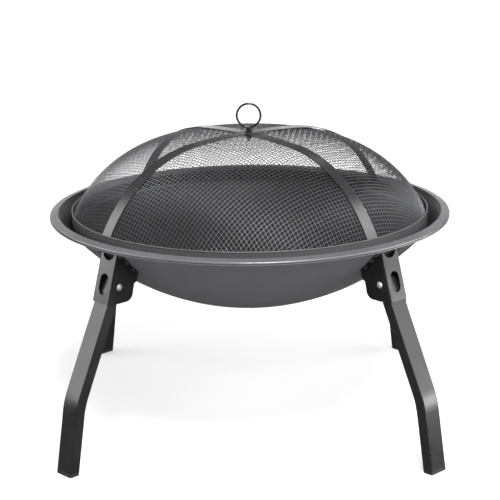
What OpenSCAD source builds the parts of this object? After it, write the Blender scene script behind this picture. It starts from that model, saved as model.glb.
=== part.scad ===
// Folding fire pit: a pressed steel fire bowl on four hinged legs that swing in
// under the bowl, with a lift-off domed spark screen and a ring handle.
// Millimetres. Origin on the ground under the bowl's centre, +Z up, the front is -Y.

/* [Bowl] */
// Outer diameter of the bowl's rim
rim_d = 560; // [520:5:600]
// Width of the rim
rim_w = 11.5; // [9:0.5:18]
// Fall of the rim, from the bowl's mouth out to the rim's edge
rim_fall = 2; // [0.5:0.25:4]
// Radius of the bead that is rolled along the rim's edge
rim_bead = 1.7; // [1.2:0.1:2.5]
// Radius of the folded hem below the bead
rim_hem = 1.2; // [0.8:0.1:1.6]
// Depth of the bowl, from the rim's edge to its underside
bowl_depth = 132; // [115:1:140]
// Thickness of the bowl's sheet
bowl_t = 1.2; // [0.8:0.1:2]

/* [Legs] */
// Width of a leg tube, across the swing
leg_w = 29.5; // [24:0.5:36]
// Depth of a leg tube, along the swing
leg_t = 15; // [12:0.5:16]
// Wall of the leg tube
leg_wall = 1.2; // [0.8:0.1:2]
// Radius of the leg tube's corners
leg_corner = 2; // [1.5:0.1:3]
// Lean of the upper leg from upright, degrees
leg_tilt = 25; // [22:0.5:28]
// Lean of the lower leg from upright, degrees
shin_tilt = 9.7; // [6:0.1:14]
// Distance from the bowl's axis to the middle of a foot on the ground
foot_r = 340.5; // [330:0.5:352]
// Radius of the knee bend, along the tube's middle
knee_r = 95; // [60:5:120]
// Height of the foot plug's visible end
foot_h = 5; // [3:0.5:10]
// Length of the foot plug's spigot inside the tube
spigot_l = 18; // [10:1:30]

/* [Hinges] */
// Distance from the rim's edge in to the hinge pins
pivot_inset = 24; // [21:0.5:26]
// Distance from the top of the rim's edge down to the hinge pins
pivot_drop = 57.5; // [54:0.5:62]
// Half of the gap that is left between two folded feet
fold_gap = 0.7; // [0.5:0.1:3]
// Radius of a hinge pin's shaft
pin_r = 3; // [2:0.25:4]
// Radius of a hinge pin's head
pin_head_r = 4.5; // [4:0.25:6]
// Radius of the hollow in a hinge pin's head
pin_hollow_r = 1.6; // [1:0.1:1.9]
// Height of a hinge pin's head
pin_head_h = 2; // [1.2:0.1:3]
// Running clearance round a pin's shaft
pin_gap = 0.05; // [0.02:0.01:0.1]

/* [Brackets] */
// Thickness of the bracket's sheet
bracket_t = 1.5; // [1:0.1:2]
// Lean of the bracket's web from upright, degrees
bracket_tilt = 16; // [13:0.5:19]
// Gap between a leg and each bracket cheek
cheek_gap = 0.5; // [0.4:0.1:1]
// Gap between a leg and the web's lower edge, where the leg stops
stop_gap = 0.5; // [0.45:0.05:1]
// Drop of the web's lower edge below the pin
web_drop = 20; // [17:0.5:23]
// Width of the oblong slot in the web
slot_w = 16; // [10:1:20]
// Length of the oblong slot in the web
slot_l = 28; // [22:1:32]
// Height of the slot's middle above the pin
slot_up = 4; // [2:0.5:6]
// Radius of the round notch in the web's top edge
notch_r = 12; // [8:0.5:13]
// Depth of the round notch, below where the web meets the bowl
notch_deep = 10; // [6:0.5:11]
// Reach of the cheeks behind the pin, at the bowl
cheek_back = 34; // [31:0.5:37]
// Reach of the cheeks behind the pin, below the step
cheek_low = 23; // [20:0.5:25]
// Radius of the cheeks' lower back corner
cheek_r = 12; // [8:0.5:14]
// Radius of the small notch in the cheeks' lower edge
nick_r = 2.5; // [1.5:0.25:3]
// Distance of the small notch outward from the pin
nick_x = 6; // [4:0.5:8]
// Outer radius of the bends between the web and the cheeks
bend_r = 2.5; // [2.1:0.1:3.5]
// Width of the flanges that lie along the bowl beside the cheeks
flange_w = 10; // [6:0.5:12]
// Seam between the bracket's edges and the bowl that the weld fills
weld_gap = 0.05; // [0.02:0.01:0.1]

/* [Spark screen] */
// Gap between the bowl's mouth and the screen's ring, seen from above
ring_inset = 19; // [14:0.5:26]
// Height of the screen's ring
ring_h = 23.5; // [20:0.5:30]
// Thickness of the ring's band
ring_t = 1.2; // [0.8:0.1:2]
// Radius of the rolled bead on the ring's top edge
bead_r = 1.1; // [0.8:0.1:1.6]
// Gap between the ring's lower edge and the bowl it stands in
seat_gap = 0.4; // [0.3:0.05:1]
// Rise of the dome, from the ring's top edge to the mesh's crown
dome_rise = 101.5; // [92:0.5:112]
// Radius of the dome's crown
crown_r = 1100; // [900:50:1500]
// Radius of the dome's shoulder
shoulder_r = 188; // [180:1:196]
// Thickness of the mesh
mesh_t = 1.6; // [1:0.1:2.4]
// Spacing of the mesh's bars
mesh_pitch = 24; // [20:1:32]
// Width of a mesh bar
mesh_bar = 2.4; // [1.6:0.1:4]
// Width of the mesh's hem, seen from above
mesh_hem = 6; // [4:0.5:10]
// Depth of the mesh's upright skirt inside the ring
skirt_h = 14; // [8:0.5:16]
// Width of a strap
strap_w = 18; // [14:1:22]
// Thickness of a strap
strap_t = 1.2; // [0.8:0.1:2]
// Turn of the crossed straps away from the legs' directions, degrees
screen_turn = -4.5; // [-12:0.5:12]
// Clearance between the screen's layers
lay_gap = 0.1; // [0.05:0.05:0.3]

/* [Handle] */
// Outer diameter of the handle's ring
handle_d = 36; // [30:1:44]
// Diameter of the handle's wire
handle_wire = 3; // [2.5:0.25:4]
// Diameter of the neck under the ring
neck_d = 7; // [6:0.5:9]
// Height of the neck
neck_h = 3.4; // [2:0.2:8]
// Diameter of the collar on the straps
collar_d = 10.5; // [9:0.5:16]
// Thickness of the collar
collar_h = 2.2; // [1.5:0.1:4]
// Diameter of the threaded stud
stud_d = 4; // [4:0.5:6]
// Length of the stud below the mesh's crown
stud_l = 8.5; // [7:0.5:16]
// Diameter of the washer under the mesh
washer_d = 12; // [10:0.5:20]
// Thickness of the washer
washer_t = 1; // [0.8:0.1:2]
// Width of the nut across its flats
nut_af = 7; // [6.5:0.5:10]
// Height of the nut
nut_h = 3.2; // [2.4:0.2:6]

/* [Hidden] */
$fn = 96;

// Directions of the four legs round the bowl
az_fr = -45;
az_br = 45;
az_bl = 135;
az_fl = 225;

// Hinge place: the legs are as long as lets the folded feet clear each other on the axis
pivot_r = rim_d / 2 - pivot_inset;
pivot_z = pivot_r - leg_w / 2 - fold_gap;
rim_z = pivot_z + pivot_drop;

// Bowl: a sphere through the rim's inner corner and the bottom
mouth_r = rim_d / 2 - rim_w;
mouth_z = rim_z + rim_fall;
dish_h = bowl_depth + rim_fall - bowl_t;
dish_ro = (mouth_r * mouth_r + dish_h * dish_h) / (2 * dish_h);
dish_ri = dish_ro - bowl_t;
dish_z = rim_z - bowl_depth + dish_ro;
hem_z = rim_z - 2 * rim_bead - rim_hem / 2;
rim_under = hem_z - rim_hem;

// Leg: where the upper and the lower middle lines meet, measured from the pin
run_r = foot_r - pivot_r;
knee_d = (run_r - pivot_z * tan(shin_tilt)) / (tan(leg_tilt) - tan(shin_tilt));
bend = leg_tilt - shin_tilt;
bend_cut = knee_r * tan(bend / 2);
thigh_l = knee_d / cos(leg_tilt) - bend_cut;
bend_x = thigh_l * sin(leg_tilt) - knee_r * cos(leg_tilt);
bend_y = -thigh_l * cos(leg_tilt) - knee_r * sin(leg_tilt);
shin_x = bend_x + knee_r * cos(shin_tilt);
shin_y = bend_y + knee_r * sin(shin_tilt);
head_r = leg_t * 0.7;
knee_lap = 0.5;
knee_swell = 0.05;

// Bracket: the web's inner face passes the leg's outer face at the web's lower edge
cheek_in = leg_w / 2 + cheek_gap;
cheek_out = cheek_in + bracket_t;
stop_x = (leg_t / 2 + stop_gap) / cos(leg_tilt) + web_drop * tan(leg_tilt);
web_x = stop_x + bracket_t / cos(bracket_tilt);
web_top = pivot_drop;
notch_y = sphere_y(web_x);

// Cheek outline: the back edge leans with the bowl, and a step leads to the lower corner
back_lean = 10;
back_up = 15;
back_cut = 4;
step_up = 2;
step_lean = 2.5;
cheek_lip = 2;
cheek_drop = web_drop + cheek_lip;

// Height, from the pin, at which the web's outer face reaches the bowl
function sphere_y(x, y = 0, k = 12) =
  k == 0 ? y : sphere_y(x, dish_z - pivot_z - sqrt(dish_ro * dish_ro - pow(pivot_r + web_at(x, y), 2)), k - 1);
function web_at(x, y) = x - (y + web_drop) * tan(bracket_tilt);

// Screen: the ring stands in the bowl, the mesh and the straps tuck inside the ring
ring_r = mouth_r - ring_inset;
ring_z = dish_z - sqrt(pow(dish_ri - seat_gap, 2) - ring_r * ring_r);
ring_top = ring_z + ring_h;
strap_ro = ring_r - ring_t - lay_gap - strap_w * strap_w / (8 * (ring_r - ring_t));
mesh_ro = strap_ro - strap_t - lay_gap;
mesh_z = ring_top - 4 * bead_r;
crown_z = ring_top + dome_rise;
strap_off = lay_gap;
upper_lift = strap_t + lay_gap;
strap_top = crown_z + strap_off + strap_t + upper_lift;
seam = lay_gap / 2;
stud_hole = stud_d / 2 + lay_gap;

// Dome profile of a crown arc and a shoulder arc that touch: [crown centre z, shoulder centre r, shoulder centre z]
function dome(rs, zf, zap, rc, rk) =
  let (zc = zap - rc, dx = rs, dz = zf - zc, d = sqrt(dx * dx + dz * dz))
  let (p = rc - rk, a = (d * d + p * p - rk * rk) / (2 * d), h = sqrt(p * p - a * a))
  [zc, (a * dx - h * dz) / d, zc + (a * dz + h * dx) / d];

MESH = dome(mesh_ro, mesh_z, crown_z, crown_r, shoulder_r);
UPPER = dome(mesh_ro, mesh_z, crown_z + upper_lift, crown_r, shoulder_r);

// A wedge of the plane from direction a0 to a1, in degrees from +Y towards +X
module wedge(a0, a1, len) {
  am = (a0 + a1) / 2;
  polygon([
    [0, 0],
    [len * sin(a0), len * cos(a0)],
    [2 * len * sin(am), 2 * len * cos(am)],
    [len * sin(a1), len * cos(a1)]
  ]);
}

// Profile of all that is under a dome at off outside the mesh, with an upright skirt down to z_low
module dome_fill(d, off, z_low) {
  top = atan2(d[1], d[2] - d[0]);
  intersection() {
    union() {
      translate([0, d[0]])
        intersection() {
          circle(crown_r + off, $fn = 360);
          wedge(-top, top, 2 * crown_r);
        }
      for (s = [-1, 1])
        translate([s * d[1], d[2]])
          circle(shoulder_r + off, $fn = 360);
    }
    translate([-mesh_ro - off, z_low])
      square([2 * (mesh_ro + off), 2 * crown_z]);
  }
}

// Profile of a dome layer of thickness t that starts at off outside the mesh
module dome_layer(d, off, t) {
  difference() {
    dome_fill(d, off + t, mesh_z - skirt_h);
    dome_fill(d, off, mesh_z - 2 * skirt_h);
  }
}

// Extrudes a profile drawn in (out, up) evenly to both sides of a radial plane
module plate(w) {
  translate([0, w / 2, 0])
    rotate([90, 0, 0])
      linear_extrude(w)
        children();
}

// Stands a leg's piece, drawn from its pin, in its direction round the bowl
module at_hinge(az) {
  rotate([0, 0, az])
    translate([pivot_r, 0, pivot_z])
      children();
}

// Cross-section of a leg tube, shrunk by inset, with rounded corners
module leg_section(inset) {
  x = leg_t / 2 - inset;
  y = leg_w / 2 - inset;
  r = max(leg_corner - inset, leg_corner / 6);
  square([2 * (x - r), 2 * y], center = true);
  square([2 * x, 2 * (y - r)], center = true);
  for (i = [-1, 1], j = [-1, 1])
    translate([i * (x - r), j * (y - r)])
      circle(r, $fn = 32);
}

// A leg's whole tube, drawn from its pin, up to head above the pin and past the ground, shrunk by inset.
// The pressed knee is a hair fuller than the straight runs that end inside it.
module leg_sweep(inset, head) {
  rotate([0, -leg_tilt, 0])
    translate([0, 0, -thigh_l - knee_lap])
      linear_extrude(thigh_l + knee_lap + head)
        leg_section(inset);
  translate([bend_x, 0, bend_y])
    rotate([90, 0, 0])
      rotate([0, 0, shin_tilt])
        rotate_extrude(angle = bend, $fn = 360)
          translate([knee_r, 0])
            leg_section(inset - knee_swell);
  translate([shin_x, 0, shin_y])
    rotate([0, -shin_tilt, 0])
      translate([0, 0, -pivot_z])
        linear_extrude(pivot_z + knee_lap)
          leg_section(inset);
}

// Everything between two heights above the ground, drawn from a pin
module slab(z0, z1) {
  translate([-rim_d, -rim_d, z0 - pivot_z])
    cube([2 * rim_d, 2 * rim_d, z1 - z0]);
}

module bowl_profile() {
  intersection() {
    translate([0, dish_z])
      difference() {
        circle(dish_ro, $fn = 360);
        circle(dish_ri, $fn = 360);
      }
    translate([0, rim_z - bowl_depth - bowl_t])
      square([rim_d / 2, bowl_depth + rim_fall + 0.8 * bowl_t]);
  }
  polygon([
    [mouth_r - bowl_t / 4, mouth_z - bowl_t / 2],
    [rim_d / 2 - rim_bead, rim_z - bowl_t],
    [rim_d / 2 - rim_bead, rim_z - bowl_t / 6],
    [mouth_r - bowl_t / 4, mouth_z]
  ]);
  translate([rim_d / 2 - rim_bead, rim_z - rim_bead])
    circle(rim_bead, $fn = 48);
  translate([rim_d / 2 - rim_hem, hem_z])
    circle(rim_hem, $fn = 48);
}

module fire_bowl() {
  color("dimgray")
    rotate_extrude($fn = 360)
      bowl_profile();
}

// Side view of a bracket's cheeks, drawn from the pin
module cheek_side() {
  difference() {
    union() {
      polygon([
        [-cheek_back - back_lean, web_top],
        [-cheek_back, back_up],
        [-cheek_back + back_cut, step_up],
        [-cheek_low - step_lean, 0],
        [-cheek_low, cheek_r - cheek_drop],
        [cheek_r - cheek_low, cheek_r - cheek_drop],
        [cheek_r - cheek_low, -cheek_drop],
        [web_x - back_cut, -cheek_drop],
        [web_x, -web_drop],
        [web_at(web_x, web_top), web_top]
      ]);
      translate([cheek_r - cheek_low, cheek_r - cheek_drop])
        circle(cheek_r);
    }
    translate([nick_x, -cheek_drop])
      circle(nick_r);
  }
}

// Cross-section of a U-channel whose web's outer face is on the Y axis, shrunk by inset
module channel_section(inset) {
  w = cheek_out - inset;
  r = bend_r - inset;
  back = -3 * cheek_back;
  translate([back, -w])
    square([-back - bend_r, 2 * w]);
  translate([-bend_r - r, r - w])
    square([2 * r, 2 * (w - r)]);
  for (s = [-1, 1])
    translate([-bend_r, s * (w - r)])
      circle(r, $fn = 32);
}

// The bent channel of a bracket, along the web's lean, drawn from the pin
module channel() {
  translate([web_x, 0, -web_drop])
    rotate([0, -bracket_tilt, 0])
      translate([0, 0, -4 * web_drop])
        linear_extrude(3 * web_top + 4 * web_drop)
          difference() {
            channel_section(0);
            channel_section(bracket_t);
          }
}

// A cut through the web, square to it, drawn in the web's own plane from height up
module web_cut(up) {
  translate([web_at(web_x, up), 0, up])
    rotate([0, -bracket_tilt, 0])
      rotate([90, 0, 90])
        linear_extrude(6 * bracket_t, center = true)
          children();
}

// A bracket's two weld flanges, which lie on the bowl beside the cheeks, drawn from the pin
module weld_flanges() {
  y0 = cheek_out - bracket_t / 2;
  x0 = -cheek_back + 2 * back_cut;
  x1 = web_at(web_x, notch_y) - bend_r;
  intersection() {
    translate([-pivot_r, 0, dish_z - pivot_z])
      sphere(dish_ro + weld_gap + bracket_t, $fn = 360);
    for (s = [-1, 1])
      translate([x0, s > 0 ? y0 : -y0 - flange_w, 0])
        cube([x1 - x0, flange_w, 2 * web_top]);
  }
}

module bracket(az) {
  color("black")
    at_hinge(az)
      difference() {
        union() {
          intersection() {
            plate(4 * cheek_out)
              cheek_side();
            channel();
          }
          weld_flanges();
        }
        translate([-pivot_r, 0, dish_z - pivot_z])
          sphere(dish_ro + weld_gap, $fn = 360);
        translate([-pivot_r, 0, rim_under - pivot_z - weld_gap])
          cylinder(r = rim_d, h = rim_d);
        web_cut(notch_y)
          translate([0, notch_r - notch_deep])
            circle(notch_r);
        web_cut(slot_up) {
          for (s = [-1, 1])
            translate([0, s * (slot_l - slot_w) / 2])
              circle(d = slot_w);
          square([slot_w, slot_l - slot_w], center = true);
        }
        rotate([90, 0, 0])
          cylinder(r = pin_r + pin_gap, h = 3 * cheek_out, center = true);
      }
}

module hinge_pin(az) {
  dome_r = (pin_head_r * pin_head_r + pin_head_h * pin_head_h) / (2 * pin_head_h);
  color("silver")
    at_hinge(az)
      rotate([90, 0, 0]) {
        cylinder(r = pin_r, h = 2 * cheek_out, center = true);
        for (s = [0, 1])
          mirror([0, 0, s])
            translate([0, 0, cheek_out])
              intersection() {
                difference() {
                  cylinder(r = pin_head_r, h = pin_head_h);
                  cylinder(r = pin_hollow_r, h = 3 * pin_head_h);
                }
                translate([0, 0, pin_head_h - dome_r])
                  sphere(dome_r);
              }
      }
}

module leg(az) {
  color("dimgray")
    at_hinge(az)
      difference() {
        leg_sweep(0, leg_t);
        leg_sweep(leg_wall, 2 * leg_t);
        slab(-rim_d, foot_h);
        difference() {
          rotate([0, -leg_tilt, 0])
            translate([-leg_w, -leg_w, 0])
              cube(2 * leg_w);
          rotate([90, 0, 0])
            cylinder(r = head_r, h = 4 * leg_w, center = true);
        }
        rotate([90, 0, 0])
          cylinder(r = pin_r + pin_gap, h = 2 * leg_w, center = true);
      }
}

module foot(az) {
  color("black")
    at_hinge(az) {
      intersection() {
        leg_sweep(0, 0);
        slab(0, foot_h - lay_gap);
      }
      intersection() {
        leg_sweep(leg_wall + lay_gap, 0);
        slab(foot_h / 2, foot_h + spigot_l);
      }
    }
}

module screen_ring() {
  color("dimgray")
    rotate_extrude($fn = 360) {
      translate([ring_r - ring_t, ring_z])
        square([ring_t, ring_h]);
      translate([ring_r - ring_t / 2, ring_top])
        circle(bead_r, $fn = 32);
    }
}

// Plan of one quarter of the mesh, its straight sides along +X and +Y under the straps
module mesh_plan() {
  gap = mesh_pitch - mesh_bar;
  hole_r = mesh_ro - mesh_hem;
  n = ceil(mesh_ro / mesh_pitch);
  difference() {
    translate([seam, seam])
      square(2 * mesh_ro);
    circle(stud_hole);
    intersection() {
      circle(hole_r, $fn = 360);
      for (i = [0:n], j = [0:n])
        if (norm([i, j]) * mesh_pitch + mesh_bar < hole_r - mesh_pitch / 3)
          translate([i * mesh_pitch + mesh_bar, j * mesh_pitch + mesh_bar])
            square(gap);
    }
  }
}

module mesh_quarter(turn) {
  color("black")
    rotate([0, 0, turn + screen_turn - 45])
      intersection() {
        rotate_extrude($fn = 360)
          intersection() {
            dome_layer(MESH, -mesh_t, mesh_t);
            square(2 * crown_z);
          }
        linear_extrude(2 * crown_z)
          mesh_plan();
      }
}

module strap(turn, d) {
  color("gray")
    rotate([0, 0, turn + screen_turn])
      difference() {
        plate(strap_w)
          dome_layer(d, strap_off, strap_t);
        cylinder(r = stud_hole, h = 2 * crown_z);
      }
}

module handle_ring() {
  mid_z = strap_top + collar_h + neck_h + handle_d / 2;
  loop_r = (handle_d - handle_wire) / 2;
  color("black") {
    translate([0, 0, mid_z])
      rotate([90, 0, 0])
        rotate_extrude()
          translate([loop_r, 0])
            circle(d = handle_wire, $fn = 48);
    translate([0, 0, strap_top + collar_h])
      cylinder(d = neck_d, h = neck_h + handle_wire / 2);
    translate([0, 0, crown_z - mesh_t - stud_l])
      cylinder(d = stud_d, h = strap_top + collar_h + neck_h / 3 - crown_z + mesh_t + stud_l);
  }
}

module handle_collar() {
  color("black")
    translate([0, 0, strap_top])
      difference() {
        cylinder(d = collar_d, h = collar_h);
        cylinder(r = stud_hole, h = 4 * collar_h, center = true);
      }
}

module handle_washer() {
  color("black")
    translate([0, 0, crown_z - mesh_t - lay_gap - washer_t])
      difference() {
        cylinder(d = washer_d, h = washer_t);
        cylinder(r = stud_hole, h = 4 * washer_t, center = true);
      }
}

module handle_nut() {
  color("black")
    translate([0, 0, crown_z - mesh_t - 2 * lay_gap - washer_t - nut_h])
      difference() {
        cylinder(d = nut_af / cos(30), h = nut_h, $fn = 6);
        cylinder(r = stud_d / 2 + pin_gap, h = 4 * nut_h, center = true);
      }
}

fire_bowl();
bracket(az_fr);  // bracket_fr
bracket(az_br);  // bracket_br
bracket(az_bl);  // bracket_bl
bracket(az_fl);  // bracket_fl
hinge_pin(az_fr);  // hinge_pin_fr
hinge_pin(az_br);  // hinge_pin_br
hinge_pin(az_bl);  // hinge_pin_bl
hinge_pin(az_fl);  // hinge_pin_fl
leg(az_fr);  // leg_fr
leg(az_br);  // leg_br
leg(az_bl);  // leg_bl
leg(az_fl);  // leg_fl
foot(az_fr);  // foot_fr
foot(az_br);  // foot_br
foot(az_bl);  // foot_bl
foot(az_fl);  // foot_fl
screen_ring();
mesh_quarter(-90);  // mesh_front
mesh_quarter(0);  // mesh_right
mesh_quarter(90);  // mesh_back
mesh_quarter(180);  // mesh_left
strap(-45, MESH);  // strap_lower
strap(45, UPPER);  // strap_upper
handle_ring();
handle_collar();
handle_washer();
handle_nut();
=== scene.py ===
# %% [markdown]
# # A folding fire pit, dressed in Blender
# The real object is a shallow bowl pressed from steel sheet. It stands on four riveted legs that swing in
# under it, and a lift-off spark screen of woven wire sits in its mouth. The solids of the legs, brackets,
# rivets, feet, ring, straps and handle are already exact, so this lesson keeps them and gives each one its
# real finish. What a solid can't carry well is made here: the smooth skin of the pressed bowl, hundreds of
# woven wires, a screw thread and the spot welds.

import math

import bmesh
import bpy
from mathutils import Matrix, Vector


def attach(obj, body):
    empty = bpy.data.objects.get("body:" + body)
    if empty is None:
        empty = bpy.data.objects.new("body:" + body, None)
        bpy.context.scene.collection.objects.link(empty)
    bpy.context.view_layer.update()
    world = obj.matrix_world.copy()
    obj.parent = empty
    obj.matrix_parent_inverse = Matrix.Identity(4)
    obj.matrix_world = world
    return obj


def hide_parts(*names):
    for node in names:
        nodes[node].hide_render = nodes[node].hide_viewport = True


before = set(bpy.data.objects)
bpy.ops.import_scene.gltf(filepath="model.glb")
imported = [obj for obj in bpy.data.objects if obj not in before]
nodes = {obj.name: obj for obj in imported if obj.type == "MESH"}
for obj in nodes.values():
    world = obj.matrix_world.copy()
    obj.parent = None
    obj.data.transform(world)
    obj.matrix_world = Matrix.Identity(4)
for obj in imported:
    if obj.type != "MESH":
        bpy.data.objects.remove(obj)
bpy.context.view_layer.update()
MM = 0.001


# %% [markdown]
# ## Helpers for nodes, colours and objects
# Materials and Geometry Nodes are both graphs, so one small function serves both. It adds a node, sets its
# properties, and fills its inputs: a socket given as an input is linked, anything else is set as a value. A
# second one turns a hex colour, as a colour picker shows it, into the linear light that Blender reckons in.
# Two more put an object into the scene and count a mesh's triangles.


# %% Helpers for nodes, colours and objects
def add(tree, kind, into=None, **settings):
    node = tree.nodes.new(kind)
    for key, value in settings.items():
        setattr(node, key, value)
    for key, value in (into or {}).items():
        if isinstance(value, bpy.types.NodeSocket):
            tree.links.new(value, node.inputs[key])
        else:
            node.inputs[key].default_value = value
    return node


def linear(hex_colour):
    parts = [int(hex_colour[i : i + 2], 16) / 255 for i in (1, 3, 5)]
    return tuple(c / 12.92 if c <= 0.04045 else ((c + 0.055) / 1.055) ** 2.4 for c in parts) + (1.0,)


def put(name, data):
    thing = bpy.data.objects.new(name, data)
    bpy.context.scene.collection.objects.link(thing)
    return thing


def triangles(mesh):
    return sum(len(face.vertices) - 2 for face in mesh.polygons)


print("mid grey in linear light:", [round(c, 3) for c in linear("#808080")])

# %% [markdown]
# ## Coated steel
# The sheet, tubes and strips are mild steel under a dark coat, baked on. Powder coat melts and sets with a
# faint orange peel, and paint that stands heat is a little duller and cloudier. The eye reads three things:
# a dark grey that isn't quite even, a broad soft highlight whose edge wavers, and tiny dimples. One flat
# colour would look like plastic, so the colour and the roughness follow a slow noise, and a fine noise
# drives a shallow bump. Real orange peel is about 1 mm across, which is under a pixel here, so it is drawn
# two to three times coarser to show at all.

# %% Coated steel, as a function
MIX_A, MIX_B, MIX_RESULT = 6, 7, 2  # where the Mix node keeps its colour sockets
NOISE_LOW, NOISE_HIGH = 0.3, 0.7  # most of a noise lies between these
SMOOTHER, ROUGHER = 0.04, 0.05
PEEL_STRENGTH = 0.6


def new_finish(name, constants):
    material = bpy.data.materials.new(name)
    material.use_nodes = True
    shader = material.node_tree.nodes["Principled BSDF"]
    for socket, value in constants.items():
        shader.inputs[socket].default_value = value
    return material


def mottle(tree, pattern, dark, light, smoothest, roughest):
    shader = tree.nodes["Principled BSDF"]
    colours = {"Factor": pattern, MIX_A: linear(dark), MIX_B: linear(light)}
    shade = add(tree, "ShaderNodeMix", colours, data_type="RGBA")
    tree.links.new(shade.outputs[MIX_RESULT], shader.inputs["Base Color"])
    span = {"From Min": NOISE_LOW, "From Max": NOISE_HIGH, "To Min": smoothest, "To Max": roughest}
    gloss = add(tree, "ShaderNodeMapRange", {"Value": pattern, **span})
    tree.links.new(gloss.outputs[0], shader.inputs["Roughness"])


# Paint resin has an IOR of 1.5, which is Blender's default, and a metal keeps that default too
def coated_steel(name, dark, light, gloss_level, roughness, cloud_mm, peel_mm, peel_depth_mm, metallic=0.0):
    material = new_finish(name, {"Specular IOR Level": gloss_level, "Metallic": metallic})
    tree = material.node_tree
    place = add(tree, "ShaderNodeTexCoord").outputs["Object"]
    slow = {"Vector": place, "Scale": 1 / (cloud_mm * MM), "Detail": 4.0, "Roughness": 0.55}
    cloud = add(tree, "ShaderNodeTexNoise", slow)
    mottle(tree, cloud.outputs[0], dark, light, roughness - SMOOTHER, roughness + ROUGHER)
    fine = {"Vector": place, "Scale": 1 / (peel_mm * MM), "Detail": 2.0, "Roughness": 0.5}
    speckle = add(tree, "ShaderNodeTexNoise", fine)
    dimples = {"Height": speckle.outputs[0], "Strength": PEEL_STRENGTH, "Distance": peel_depth_mm * MM}
    peel = add(tree, "ShaderNodeBump", dimples)
    tree.links.new(peel.outputs[0], tree.nodes["Principled BSDF"].inputs["Normal"])
    return material


print("materials before the first coat:", len(bpy.data.materials))

# %% [markdown]
# ## The bowl's three coats
# The bowl is painted after pressing, with paint that stands heat. Outside it is a dull dark grey. The rolled
# rim is smoother and shinier where light grazes it, because paint runs thin and smooth over a tight bend, and
# its grey is drawn a little paler as a painted highlight. Inside it is matt, and its grey is drawn near black
# as painted shade, so the hollow looks dark behind the mesh. One coat for all would lose that contrast.

# %% Coats of the bowl
# A dull dark grey with one broad, weak highlight
bowl_coat = coated_steel(
    "heat_resistant_satin_paint",
    "#444446",
    "#4c4c4e",
    gloss_level=0.32,
    roughness=0.5,
    cloud_mm=70,
    peel_mm=2.6,
    peel_depth_mm=0.04,
)
# A smoother coat, which draws a thin bright line round the edge; its grey, a little paler than the bowl's, is
# a painted highlight
rim_coat_painted_highlight = coated_steel(
    "satin_rim_paint_painted_highlight",
    "#4a4a4c",
    "#525254",
    gloss_level=0.9,
    roughness=0.26,
    cloud_mm=70,
    peel_mm=2.6,
    peel_depth_mm=0.015,
)
# Near black, as painted shade in the hollow, with nearly no shine
inside_coat_painted_shade = coated_steel(
    "matt_stove_black_painted_shade_inside",
    "#181819",
    "#1f1f20",
    gloss_level=0.2,
    roughness=0.5,
    cloud_mm=70,
    peel_mm=2.6,
    peel_depth_mm=0.04,
)
print("coats of the bowl:", [coat.name for coat in (bowl_coat, rim_coat_painted_highlight, inside_coat_painted_shade)])

# %% [markdown]
# ## Coats of the legs and brackets
# Legs and brackets are powder coated before they are riveted: near black, with long soft streaks of light
# along the tubes and sharper ones on the small bends of the brackets. The welds between bracket and bowl
# carry a thinner coat, which shines on top of each one. Smaller pieces get smaller clouds of tone.

# %% Coats of the legs and brackets
# Near black, with a long soft streak along each tube
leg_coat = coated_steel(
    "satin_powder_coat_tube",
    "#131314",
    "#19191a",
    gloss_level=0.56,
    roughness=0.28,
    cloud_mm=45,
    peel_mm=2.2,
    peel_depth_mm=0.03,
)
# Near black, with short crisp lights on the bends
bracket_coat = coated_steel(
    "satin_powder_coat_bracket",
    "#121213",
    "#181819",
    gloss_level=0.58,
    roughness=0.2,
    cloud_mm=30,
    peel_mm=2.2,
    peel_depth_mm=0.03,
)
# A thin glossy film, which leaves a small glint on each weld
weld_coat = coated_steel(
    "thin_paint_over_welds",
    "#2c2c2d",
    "#3a3a3b",
    gloss_level=0.9,
    roughness=0.16,
    cloud_mm=4,
    peel_mm=1.2,
    peel_depth_mm=0.03,
)
print("coats below the bowl:", [coat.name for coat in (leg_coat, bracket_coat, weld_coat)])

# %% [markdown]
# ## Coats of the spark screen
# The straps are painted strip, the ring is duller and greyer, and the handle is bent wire under gloss paint.
# The mesh is wire that was blackened with oxide before weaving. Oxide is a skin thin enough for the metal to
# show through, so the wires are a dark metal instead of paint, and glitter a little where they turn.

# %% Coats of the spark screen
# Dark grey, with a clear light where the strip bends over the dome
strip_coat = coated_steel(
    "satin_paint_steel_strip",
    "#1b1b1c",
    "#222223",
    gloss_level=0.65,
    roughness=0.24,
    cloud_mm=40,
    peel_mm=2.4,
    peel_depth_mm=0.03,
)
# A flat mid grey without a clear highlight
ring_coat = coated_steel(
    "satin_paint_screen_ring",
    "#3c3c3d",
    "#464647",
    gloss_level=0.5,
    roughness=0.5,
    cloud_mm=60,
    peel_mm=2.4,
    peel_depth_mm=0.04,
)
# A dark metal, which shows as fine bright and black points over the dome
wire_coat = coated_steel(
    "black_oxide_woven_wire",
    "#5c5c5e",
    "#666668",
    gloss_level=0.5,
    roughness=0.34,
    cloud_mm=25,
    peel_mm=1.5,
    peel_depth_mm=0.005,
    metallic=1.0,
)
# Black, with a fine bright line round the wire of the ring
handle_coat = coated_steel(
    "gloss_black_paint_on_wire",
    "#111112",
    "#171718",
    gloss_level=0.5,
    roughness=0.25,
    cloud_mm=12,
    peel_mm=1.8,
    peel_depth_mm=0.03,
)
print("coats of the screen:", [coat.name for coat in (strip_coat, ring_coat, wire_coat, handle_coat)])

# %% [markdown]
# ## Zinc rivets and moulded feet
# The rivets are steel with zinc plating, scuffed by the tool that sets them: a pale metal with a broad,
# blotchy gloss. The feet are plugs of moulded polyethylene, matt black with a spark-eroded grain from the
# mould. That grain is a tenth of a millimetre or so, far under a pixel, so it is drawn as 1.2 mm to show.
# Both finishes reuse the mottling of the coats, with one noise each.

# %% Zinc plating and moulded plastic
ZINC_BLOTCH_MM = 2.5
MOULD_GRAIN_MM, MOULD_DEPTH_MM = 1.2, 0.08
MOULD_STRENGTH = 0.5
PLASTIC_IOR = 1.51

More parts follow.
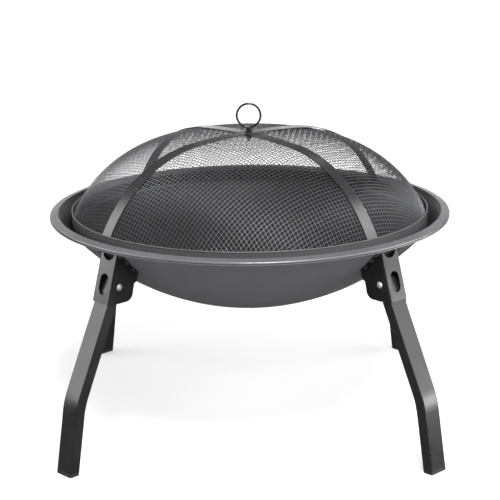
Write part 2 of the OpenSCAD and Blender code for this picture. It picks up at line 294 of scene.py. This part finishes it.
# A pale metal with a broad soft shine, so that the rivets stand out as light dots
zinc = new_finish("bright_zinc_plating", {"Metallic": 1.0})
tree = zinc.node_tree
place = add(tree, "ShaderNodeTexCoord").outputs["Object"]
blotch = add(tree, "ShaderNodeTexNoise", {"Vector": place, "Scale": 1 / (ZINC_BLOTCH_MM * MM), "Detail": 4.0})
mottle(tree, blotch.outputs[0], "#eceded", "#fafafa", smoothest=0.6, roughest=0.74)

# Matt black with a fine grain, duller than the painted leg above it
plug = new_finish("moulded_black_polyethylene", {"IOR": PLASTIC_IOR})
tree = plug.node_tree
place = add(tree, "ShaderNodeTexCoord").outputs["Object"]
grain = add(tree, "ShaderNodeTexNoise", {"Vector": place, "Scale": 1 / (MOULD_GRAIN_MM * MM), "Detail": 3.0})
mottle(tree, grain.outputs[0], "#121212", "#1c1c1c", smoothest=0.55, roughest=0.7)
hollows = {"Height": grain.outputs[0], "Strength": MOULD_STRENGTH, "Distance": MOULD_DEPTH_MM * MM}
pits = add(tree, "ShaderNodeBump", hollows)
tree.links.new(pits.outputs[0], tree.nodes["Principled BSDF"].inputs["Normal"])
print("metal and plastic finishes:", zinc.name, plug.name)

# %% [markdown]
# ## A finish for every solid
# The solids come without a finish. Each one's name begins with what it is, such as leg or bracket, so a short
# table of beginnings serves all of them. A name that the table doesn't know stops the script, which is
# better than a solid that is left grey unnoticed.

# %% Give every solid its finish
FINISH = {
    "fire_bowl": bowl_coat,
    "bracket": bracket_coat,
    "hinge_pin": zinc,
    "leg": leg_coat,
    "foot": plug,
    "screen_ring": ring_coat,
    "strap": strip_coat,
    "mesh": wire_coat,
    "handle": handle_coat,
}
for name, solid in nodes.items():
    coat = next(finish for start, finish in FINISH.items() if name.startswith(start))
    solid.data.materials.clear()
    solid.data.materials.append(coat)
print("solids finished:", len(nodes))

# %% [markdown]
# ## The bowl, turned smooth
# A press draws the bowl from one round blank. A second tool then rolls the edge into a bead and folds the
# rest under as a hem, and a fine open seam is left between the two. The solid of the bowl is cut into flat
# facets, and along the thin hem the light shows them as scallops. So the section is drawn here once more,
# with its seam, and spun about the axis in fine steps. Only edges sharper than a folded sheet's stay crisp,
# and everything else is shaded smooth. The sizes repeat the solid's own, so that the skin lies where it lies.


# %% Section of the bowl, as (distance from the axis, height) in mm
def arc(out, up, radius, start, end, steps):
    turns = [math.radians(start + (end - start) * k / steps) for k in range(steps + 1)]
    return [(out + radius * math.cos(t), up + radius * math.sin(t)) for t in turns]


DISH_MID, DISH_OUTER, DISH_INNER = 503.882, 337.832, 336.632
BOTTOM, OUTER_END, INNER_END = -90, -37.37, -37.32
BEAD = (278.3, 296.35, 1.7)  # a circle: distance from the axis, height, radius
HEM = (278.8, 294.05, 1.2)
SEAM = (278.7, 295.05)
MOUTH = [(268.4, 300.03), (267.95, 299.95)]

bowl_section = arc(0, DISH_MID, DISH_OUTER, BOTTOM, OUTER_END, 40)
bowl_section += arc(*BEAD, 160, 250, 8)
bowl_section += arc(*HEM, 150, 380, 20)
bowl_section += [SEAM]
bowl_section += arc(*BEAD, -25, 98, 14)
bowl_section += MOUTH
bowl_section += arc(0, DISH_MID, DISH_INNER, INNER_END, BOTTOM, 36)
print("points in the bowl's section:", len(bowl_section))

# %% Spin the section
SPIN_STEPS = 288
MERGE = 0.001 * MM
CRISP = math.radians(50)


def spun(name, points, steps):
    shape = bmesh.new()
    corners = [shape.verts.new((out, 0, up)) for out, up in points]
    lines = [shape.edges.new(pair) for pair in zip(corners, corners[1:])]
    bmesh.ops.spin(shape, geom=corners + lines, axis=(0, 0, 1), steps=steps, angle=math.tau, use_merge=True)
    bmesh.ops.remove_doubles(shape, verts=shape.verts, dist=MERGE)
    bmesh.ops.recalc_face_normals(shape, faces=shape.faces)
    mesh = bpy.data.meshes.new(name)
    shape.to_mesh(mesh)
    shape.free()
    mesh.shade_smooth()
    mesh.set_sharp_from_angle(angle=CRISP)
    return mesh


turned_bowl = spun("pressed_bowl", [(out * MM, up * MM) for out, up in bowl_section], SPIN_STEPS)
pressed_bowl = put("pressed_bowl", turned_bowl)
print("pressed_bowl has", triangles(turned_bowl), "triangles")

# %% Paint the bowl outside, on its rim and inside
RIM_FROM = 269 * MM
SHEET_MID = (DISH_OUTER + DISH_INNER) / 2 * MM
DISH_CENTRE = Vector((0, 0, DISH_MID * MM))
OUTSIDE, RIM, INSIDE = 0, 1, 2

# Faces beyond RIM_FROM take the rim's paler grey, a painted highlight
# Faces inside the sheet's middle take the near-black grey, painted shade
for coat in (bowl_coat, rim_coat_painted_highlight, inside_coat_painted_shade):
    turned_bowl.materials.append(coat)
for face in turned_bowl.polygons:
    if face.center.xy.length > RIM_FROM:
        face.material_index = RIM
    elif (face.center - DISH_CENTRE).length < SHEET_MID:
        face.material_index = INSIDE
    else:
        face.material_index = OUTSIDE
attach(pressed_bowl, "fire_bowl_base")
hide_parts("fire_bowl")
print("coats on pressed_bowl:", [coat.name for coat in turned_bowl.materials])

# %% [markdown]
# ## Turning a node graph into a plain mesh
# Geometry Nodes make what repeats: wires, threads, welds. A graph lives on a modifier, and a plain mesh is
# what can ride on a body and be exported, so the result is baked into the object and the modifier is taken
# off again. Every graph ends by making its copies real and giving them their finish.


# %% Geometry Nodes helpers
def new_graph(name, sizes):
    tree = bpy.data.node_groups.new(name, "GeometryNodeTree")
    tree.interface.new_socket("Geometry", in_out="INPUT", socket_type="NodeSocketGeometry")
    for label, value in sizes.items():
        kind = "NodeSocketInt" if isinstance(value, int) else "NodeSocketFloat"
        tree.interface.new_socket(label, in_out="INPUT", socket_type=kind)
    tree.interface.new_socket("Geometry", in_out="OUTPUT", socket_type="NodeSocketGeometry")
    return tree


def finished(tree, shape, coat):
    real = add(tree, "GeometryNodeRealizeInstances", {"Geometry": shape.outputs[0]})
    return add(tree, "GeometryNodeSetMaterial", {"Geometry": real.outputs[0], "Material": coat})


def grow(name, tree, sizes, start=None):
    piece = put(name, start or bpy.data.meshes.new(name))
    graph = piece.modifiers.new("graph", "NODES")
    graph.node_group = tree
    for socket in tree.interface.items_tree:
        if socket.in_out == "INPUT" and socket.name in sizes:
            graph[socket.identifier] = sizes[socket.name]
    view = piece.evaluated_get(bpy.context.evaluated_depsgraph_get())
    baked = bpy.data.meshes.new_from_object(view)
    piece.modifiers.remove(graph)
    piece.data = baked
    baked.name = name
    print(name, "has", triangles(baked), "triangles")
    return piece


print("node graphs before the first one:", len(bpy.data.node_groups))

# %% [markdown]
# ## The woven spark screen: where its wires cross
# The screen is plain-woven steel wire, pressed into a dome. A wire bends easily but can't stretch, so the
# weave fits the dome only by shearing: its square cells turn into diamonds between the straps. A grid drawn
# on the dome from above would stretch its wires near the ring and look wrong. So the net is laid out as the
# press lays it. The two wires over the crown run straight down the dome, one pitch from crossing to
# crossing. Each further crossing lies one pitch from its two neighbours, which two equations fix. One
# quarter is enough, because the other three mirror it. The dome itself is two arcs that touch: a wide crown
# arc about a centre far below the ground, and a tighter shoulder arc that runs down to the ring. Their sizes
# repeat the solids' own, so nothing needs fitting by eye.

# %% The dome's height and slope at a distance from the axis
CROWN_R, CROWN_Z = 1100 * MM, -696.51 * MM
SHOULDER_R, SHOULDER_OUT, SHOULDER_Z = 188 * MM, 79.333 * MM, 212.033 * MM
MESH_OUT = 246.737 * MM
MESH_T = 1.6 * MM
REACH = MESH_OUT - MESH_T / 2
crown_mid, shoulder_mid = CROWN_R - MESH_T / 2, SHOULDER_R - MESH_T / 2
arcs_meet = SHOULDER_OUT * crown_mid / (crown_mid - shoulder_mid)


def dome(out):
    if out < arcs_meet:
        rise = math.sqrt(crown_mid**2 - out**2)
        return CROWN_Z + rise, -out / rise
    lean = min(out, REACH) - SHOULDER_OUT
    rise = math.sqrt(shoulder_mid**2 - lean**2)
    slope = -lean / rise
    return SHOULDER_Z + rise + slope * max(out - REACH, 0), slope


def on_dome(x, y):
    return Vector((x, y, dome(math.hypot(x, y))[0]))


print("height of the mesh in mm at the crown and the ring:", [round(dome(r)[0] / MM, 1) for r in (0, REACH)])

# %% Two straight wires over the crown
PITCH = 5.6 * MM
HALVINGS = 40

net = {(0, 0): on_dome(0, 0)}
out, arm = 0.0, 0
while out < REACH + PITCH:
    near, far, last = out, out + PITCH, on_dome(out, 0)
    for halving in range(HALVINGS):
        out = (near + far) / 2
        if (on_dome(out, 0) - last).length > PITCH:
            far = out
        else:
            near = out
    arm += 1
    net[(arm, 0)], net[(0, arm)] = on_dome(out, 0), on_dome(0, out)
print("crossings from the crown to the ring:", arm)

# %% Every other crossing of one quarter, by Newton's method
NEWTON_STEPS = 12

for j in range(1, arm + 1):
    for i in range(1, arm + 1):
        if (i - 1, j) not in net or (i, j - 1) not in net:
            continue
        beside, below, behind = net[(i - 1, j)], net[(i, j - 1)], net[(i - 1, j - 1)]
        if max(beside.xy.length, below.xy.length) > REACH + PITCH:
            continue
        spot = beside.xy + below.xy - behind.xy
        for guess in range(NEWTON_STEPS):
            height, slope = dome(spot.length)
            tilt = spot.normalized() * slope
            rows, misses = [], []
            for end in (beside, below):
                off = spot - end.xy
                rows.append(2 * (off + (height - end.z) * tilt))
                misses.append(off.length_squared + (height - end.z) ** 2 - PITCH**2)
            spot = spot - Matrix(rows).inverted() @ Vector(misses)
        net[(i, j)] = on_dome(*spot)
print("crossings in a quarter of the net:", len(net))

# %% [markdown]
# ## The woven spark screen: its wires
# Each wire passes over one crossing wire and under the next, so its points are raised and lowered by half a
# wire in chequerboard order. Both sets of wires go into one mesh of bare lines, cut at the ring and turned
# to run along the straps. A node graph then sweeps a small round section along every line and adds the hem
# that binds the cut ends inside the ring.

# %% Points of a wire, over and under, cut at the ring
WIRE_D = 0.74 * MM


def crossing(i, j, lift):
    spot = net.get((abs(i), abs(j)))
    if spot is None:
        return None
    spot = Vector((math.copysign(spot.x, i), math.copysign(spot.y, j), spot.z))
    slope = dome(spot.xy.length)[1]
    up = Vector((*(-slope * spot.xy.normalized()), 1)).normalized()
    return spot + up * lift


def cut_line(points):
    inside = [k for k, p in enumerate(points) if p is not None and p.xy.length < REACH]
    if not inside:
        return []
    line = points[inside[0] : inside[-1] + 1]
    for at, beyond in ((0, inside[0] - 1), (len(line), inside[-1] + 1)):
        inner, outer = points[inside[0 if at == 0 else -1]], points[beyond]
        if outer is not None:
            share = (REACH - inner.xy.length) / (outer.xy.length - inner.xy.length)
            line.insert(at, inner.lerp(outer, share))
    return line


print("lift of a wire at a crossing in mm:", round(WIRE_D / 2 / MM, 2))

# %% Lines of all the wires
LEG_AZIMUTH, STRAP_TURN = 45, -4.5  # the crossed straps are turned away from the legs' directions

verts, edges = [], []
for a in range(-arm, arm + 1):
    for warp in (True, False):
        points = [None]
        for b in range(-arm, arm + 1):
            over = 1 if (a + b) % 2 == warp else -1
            points.append(crossing(*((a, b) if warp else (b, a)), over * WIRE_D / 2))
        line = cut_line(points + [None])
        edges += [(len(verts) + k, len(verts) + k + 1) for k in range(len(line) - 1)]
        verts += line
turned = Matrix.Rotation(math.radians(LEG_AZIMUTH + STRAP_TURN), 3, "Z")
wire_lines = bpy.data.meshes.new("wire_lines")
wire_lines.from_pydata([turned @ v for v in verts], edges, [])
print("lengths of wire between crossings:", len(edges))

# %% Sweep the wires
MESH_FOOT_Z = 297.59 * MM
SKIRT_H = 14 * MM
WEAVE = {
    "Wire Diameter": WIRE_D,
    "Hem Radius": REACH,
    "Hem Width": MESH_T,
    "Hem Height": SKIRT_H,
    "Hem Middle": MESH_FOOT_Z - SKIRT_H / 2,
}
WIRE_SIDES = 5

weave = new_graph("woven_wire_dome", WEAVE)
size = add(weave, "NodeGroupInput").outputs
wire_r = add(weave, "ShaderNodeMath", {0: size["Wire Diameter"], 1: 0.5}, operation="MULTIPLY")
round_wire = {"Resolution": WIRE_SIDES, "Radius": wire_r.outputs[0]}
wire_side = add(weave, "GeometryNodeCurvePrimitiveCircle", round_wire)
paths = add(weave, "GeometryNodeMeshToCurve", {0: size["Geometry"]})
swept = {"Curve": paths.outputs[0], "Profile Curve": wire_side.outputs[0], "Fill Caps": True}
wires = add(weave, "GeometryNodeCurveToMesh", swept)
wires = add(weave, "GeometryNodeSetShadeSmooth", {"Geometry": wires.outputs[0], "Shade Smooth": True})
wires = finished(weave, wires, wire_coat)
print("sides of a wire:", WIRE_SIDES)

# %% Bind the wires in a hem
HEM_STEPS = 180

hem_ring = {"Resolution": HEM_STEPS, "Radius": size["Hem Radius"]}
hem_path = add(weave, "GeometryNodeCurvePrimitiveCircle", hem_ring)
hem_flat = {"Width": size["Hem Width"], "Height": size["Hem Height"]}
hem_side = add(weave, "GeometryNodeCurvePrimitiveQuadrilateral", hem_flat)
swept = {"Curve": hem_path.outputs[0], "Profile Curve": hem_side.outputs[0]}
hem = add(weave, "GeometryNodeCurveToMesh", swept)
hem_at = add(weave, "ShaderNodeCombineXYZ", {"Z": size["Hem Middle"]})
hem = add(weave, "GeometryNodeTransform", {"Geometry": hem.outputs[0], "Translation": hem_at.outputs[0]})
hem = add(weave, "GeometryNodeSetShadeSmooth", {"Geometry": hem.outputs[0], "Shade Smooth": False})
hem = finished(weave, hem, strip_coat)
whole = add(weave, "GeometryNodeJoinGeometry")
for part in (wires, hem):
    weave.links.new(part.outputs[0], whole.inputs[0])
add(weave, "NodeGroupOutput", {0: whole.outputs[0]})
screen_weave = grow("screen_weave", weave, WEAVE, wire_lines)
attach(screen_weave, "spark_screen")
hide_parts("mesh_front", "mesh_right", "mesh_back", "mesh_left")

# %% [markdown]
# ## Thread on the handle's stud
# The handle passes through the crown and is held from below by a nut, and a few turns of its thread show
# under the nut. A bump on the shader would leave the stud's outline smooth. A spiral curve with a small
# three-sided section is a real thread, and it costs a few hundred faces.

# %% Thread of the stud
THREAD = {
    "Turns": 5.3,
    "Thread Radius": 1.92 * MM,
    "Length": 3.7 * MM,
    "Ridge": 0.28 * MM,
    "Low End": 393.6 * MM,
}
THREAD_STEPS = 24
RIDGE_SIDES = 3

thread = new_graph("stud_thread", THREAD)
size = add(thread, "NodeGroupInput").outputs
spiral = {
    "Resolution": THREAD_STEPS,
    "Rotations": size["Turns"],
    "Start Radius": size["Thread Radius"],
    "End Radius": size["Thread Radius"],
    "Height": size["Length"],
}
helix = add(thread, "GeometryNodeCurveSpiral", spiral)
ridge = add(thread, "GeometryNodeCurvePrimitiveCircle", {"Resolution": RIDGE_SIDES, "Radius": size["Ridge"]})
swept = {"Curve": helix.outputs[0], "Profile Curve": ridge.outputs[0], "Fill Caps": True}
coil = add(thread, "GeometryNodeCurveToMesh", swept)
coil_at = add(thread, "ShaderNodeCombineXYZ", {"Z": size["Low End"]})
coil = add(thread, "GeometryNodeTransform", {"Geometry": coil.outputs[0], "Translation": coil_at.outputs[0]})
coil = finished(thread, coil, handle_coat)
add(thread, "NodeGroupOutput", {0: coil.outputs[0]})
stud_thread = grow("stud_thread", thread, THREAD)
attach(stud_thread, "spark_screen")

# %% [markdown]
# ## Spot welds on the bracket flanges
# Each bracket lies on the bowl with two flanges, and three welds join each flange to the bowl. A weld stands
# up as a flat button, about 5 mm across, and under the glossy paint it catches a small glint, which is what
# shows of it in the photograph. The welds follow the bowl, so a graph lays a row of points beside the
# bracket, raises each point onto the sphere of the flange and turns a button square to it. Four copies at
# quarter turns serve the four brackets.

# %% Rows of weld points beside a bracket
WELDS = {
    "Buttons": 3,
    "Near": 236 * MM,
    "Far": 257 * MM,
    "Beside": 21.4 * MM,
    "Flange Radius": 339.38 * MM,
    "Bowl Centre": DISH_MID * MM,
    "Button Radius": 2.7 * MM,
    "Flatness": 0.45,
}

welds = new_graph("spot_welds", WELDS)
size = add(welds, "NodeGroupInput").outputs
rows = add(welds, "GeometryNodeJoinGeometry")
for side in (1, -1):
    beside = add(welds, "ShaderNodeMath", {0: size["Beside"], 1: side}, operation="MULTIPLY")
    near = add(welds, "ShaderNodeCombineXYZ", {"X": size["Near"], "Y": beside.outputs[0]})
    far = add(welds, "ShaderNodeCombineXYZ", {"X": size["Far"], "Y": beside.outputs[0]})
    ends = {"Count": size["Buttons"], "Start Location": near.outputs[0], "Offset": far.outputs[0]}
    row = add(welds, "GeometryNodeMeshLine", ends, mode="END_POINTS")
    welds.links.new(row.outputs[0], rows.inputs[0])
print("welds on each flange:", WELDS["Buttons"])

# %% Raise the points onto the flange
spot = add(welds, "GeometryNodeInputPosition")
away = add(welds, "ShaderNodeVectorMath", {0: spot.outputs[0], 1: spot.outputs[0]}, operation="DOT_PRODUCT")
reach = add(welds, "ShaderNodeMath", {0: size["Flange Radius"], 1: 2.0}, operation="POWER")
drop = add(welds, "ShaderNodeMath", {0: reach.outputs[0], 1: away.outputs["Value"]}, operation="SUBTRACT")
drop = add(welds, "ShaderNodeMath", {0: drop.outputs[0]}, operation="SQRT")
level = add(welds, "ShaderNodeMath", {0: size["Bowl Centre"], 1: drop.outputs[0]}, operation="SUBTRACT")
level = add(welds, "ShaderNodeCombineXYZ", {"Z": level.outputs[0]})
seats = add(welds, "GeometryNodeSetPosition", {"Geometry": rows.outputs[0], "Offset": level.outputs[0]})
print("sphere of the flanges in mm:", round(WELDS["Flange Radius"] / MM, 2))

# %% Set a button square to the flange on every point
BUTTON_SEGMENTS, BUTTON_RINGS = 20, 10

centre = add(welds, "ShaderNodeCombineXYZ", {"Z": size["Bowl Centre"]})
facing = add(welds, "ShaderNodeVectorMath", {0: spot.outputs[0], 1: centre.outputs[0]}, operation="SUBTRACT")
square_to = add(welds, "FunctionNodeAlignRotationToVector", {"Vector": facing.outputs[0]}, axis="Z")
round_ball = {"Segments": BUTTON_SEGMENTS, "Rings": BUTTON_RINGS, "Radius": size["Button Radius"]}
ball = add(welds, "GeometryNodeMeshUVSphere", round_ball)
squash = add(welds, "ShaderNodeCombineXYZ", {"X": 1.0, "Y": 1.0, "Z": size["Flatness"]})
button = add(welds, "GeometryNodeTransform", {"Geometry": ball.outputs[0], "Scale": squash.outputs[0]})
button = add(welds, "GeometryNodeSetShadeSmooth", {"Geometry": button.outputs[0], "Shade Smooth": True})
on_seats = {"Points": seats.outputs[0], "Instance": button.outputs[0], "Rotation": square_to.outputs[0]}
buttons = add(welds, "GeometryNodeInstanceOnPoints", on_seats)
print("height of a button in mm:", round(WELDS["Button Radius"] * WELDS["Flatness"] / MM, 2))

# %% Repeat the buttons at the four brackets
BRACKETS = 4

places = add(welds, "GeometryNodePoints", {"Count": BRACKETS})
which = add(welds, "GeometryNodeInputIndex")
from_first = {0: which.outputs[0], 1: math.tau / BRACKETS, 2: math.radians(LEG_AZIMUTH)}
quarter = add(welds, "ShaderNodeMath", from_first, operation="MULTIPLY_ADD")
quarter = add(welds, "ShaderNodeCombineXYZ", {"Z": quarter.outputs[0]})
at_brackets = {"Points": places.outputs[0], "Instance": buttons.outputs[0], "Rotation": quarter.outputs[0]}
buttons = add(welds, "GeometryNodeInstanceOnPoints", at_brackets)
buttons = finished(welds, buttons, weld_coat)
add(welds, "NodeGroupOutput", {0: buttons.outputs[0]})
spot_welds = grow("spot_welds", welds, WELDS)
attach(spot_welds, "fire_bowl_base")

# %% [markdown]
# ## Studio: the paper
# The photograph is a product picture, cut out on white, and the legs in it mirror no white floor. So the
# paper here is seen by the camera and catches shadows, but is kept out of the gloss of the paint. It is spun
# like the bowl: flat under the object and turned up all round, so that a low view meets white paper instead
# of a dark horizon. It glows a little by itself, because lights strong enough to whiten it would bleach the
# object.

# %% Paper
FLAT, BEND, WALL = 12.0, 4.0, 16.0
BEND_STEPS, PAPER_STEPS = 12, 64
PAPER = {
    "Base Color": linear("#b6b6b6"),
    "Roughness": 0.9,
    "Emission Color": linear("#ffffff"),
    "Emission Strength": 0.46,
}

turned_up = arc(FLAT, BEND, BEND, -90, 0, BEND_STEPS)
sheet = spun("studio_paper", [(0, 0)] + turned_up + [(FLAT + BEND, WALL)], PAPER_STEPS)
sheet.materials.append(new_finish("white_studio_paper", PAPER))
floor = put("studio_paper", sheet)
floor.visible_glossy = False
print("paper is", 2 * (FLAT + BEND), "m across and", WALL, "m high at its edge")

# %% [markdown]
# ## Studio: the lights
# A dark glossy object shows its lights as reflections, so each pale face or streak in the photograph tells
# where a light stood. Large softboxes stand at both sides and at the front right, a narrow one lies low on
# the right, and a small strong one hangs high in front. Weak ones behind and above keep the far side from
# going black. A wide lamp behind the object washes the paper white. Each softbox is given by its direction
# and its brightness, because a reflection is as bright as its light, however large that light is.

# %% Softboxes
AIM_HEIGHT = 0.35


def area_light(name, width, height, watts):
    lamp = bpy.data.lights.new(name, "AREA")
    lamp.shape = "RECTANGLE"
    lamp.size, lamp.size_y = width, height
    lamp.energy = watts
    box = put(name, lamp)
    box.visible_camera = False
    return box


def softbox(name, azimuth, elevation, width, height, brightness, away=3.5):
    box = area_light(name, width, height, math.pi * width * height * brightness)
    turn, up = math.radians(azimuth), math.radians(elevation)
    outward = Vector((math.cos(up) * math.cos(turn), math.cos(up) * math.sin(turn), math.sin(up)))
    box.location = Vector((0, 0, AIM_HEIGHT)) + away * outward
    box.rotation_euler = outward.to_track_quat("Z", "Y").to_euler()


softbox("softbox_left", azimuth=180, elevation=20.5, width=2.72, height=2.48, brightness=4.0)
softbox("softbox_right", azimuth=0, elevation=9.5, width=2.83, height=1.75, brightness=2.2)
softbox("softbox_right_low", azimuth=0, elevation=-8.4, width=1.2, height=0.25, brightness=9.0, away=1.5)
softbox("softbox_right_high", azimuth=0, elevation=33, width=2.4, height=1.1, brightness=5.0)
softbox("softbox_front_right", azimuth=315, elevation=26, width=2.6, height=1.75, brightness=4.0)
softbox("softbox_front_high", azimuth=284, elevation=55, width=1.2, height=0.85, brightness=74.0)
softbox("softbox_back_left", azimuth=135, elevation=20, width=2.75, height=0.98, brightness=1.0)
softbox("softbox_back_high", azimuth=90, elevation=52, width=2.2, height=1.49, brightness=1.0)
softbox("softbox_back_low", azimuth=90, elevation=4.5, width=3.2, height=0.45, brightness=2.5)
softbox("softbox_overhead", azimuth=270, elevation=90, width=2.6, height=2.6, brightness=0.8)
print("softboxes:", [lamp.name for lamp in bpy.data.lights])

# %% Wash on the paper, and the air
WASH_PLACE = (0, 6.0, 3.0)
WASH_SPREAD = math.radians(70)
AIR_STRENGTH = 0.14

wash = area_light("floor_wash", width=9.0, height=4.0, watts=190)
wash.data.spread = WASH_SPREAD
wash.location = WASH_PLACE
world = bpy.data.worlds.new("studio_air")
world.use_nodes = True
air = world.node_tree.nodes["Background"]
air.inputs["Color"].default_value = linear("#ffffff")
air.inputs["Strength"].default_value = AIR_STRENGTH
bpy.context.scene.world = world
bpy.context.scene.view_settings.view_transform = "Standard"
print("lights in the studio:", len(bpy.data.lights))

# %% [markdown]
# ## Camera
# The ellipses of the rim and the ring and the places of the feet fix the camera: a long lens, a little above
# the rim, and turned by less than half a degree about the bowl. It is placed by a chain of turns and one
# shift, which reads more plainly than a fitted matrix of numbers.

# %% Camera
BACK, HEIGHT, ASIDE = 2.1087, 0.82755, -0.0002
LENS_MM, SENSOR_MM = 110.9, 36.0
DOWN, YAW, ROLL = math.radians(15.68), math.radians(0.44), math.radians(-0.64)

eye = bpy.data.cameras.new("camera")
eye.lens, eye.sensor_width = LENS_MM, SENSOR_MM
camera = put("camera", eye)
camera.matrix_world = (
    Matrix.Rotation(YAW, 4, "Z")
    @ Matrix.Translation((ASIDE, -BACK, HEIGHT))
    @ Matrix.Rotation(math.pi / 2 - DOWN, 4, "X")
    @ Matrix.Rotation(ROLL, 4, "Z")
)
bpy.context.scene.camera = camera
print("camera at", [round(c, 3) for c in camera.matrix_world.translation])

# %% [markdown]
# ## Finish
# The dressed object is meant to fill the same box as the solids. At the end the scene is updated once more.

# %% Update the scene
bpy.context.view_layer.update()
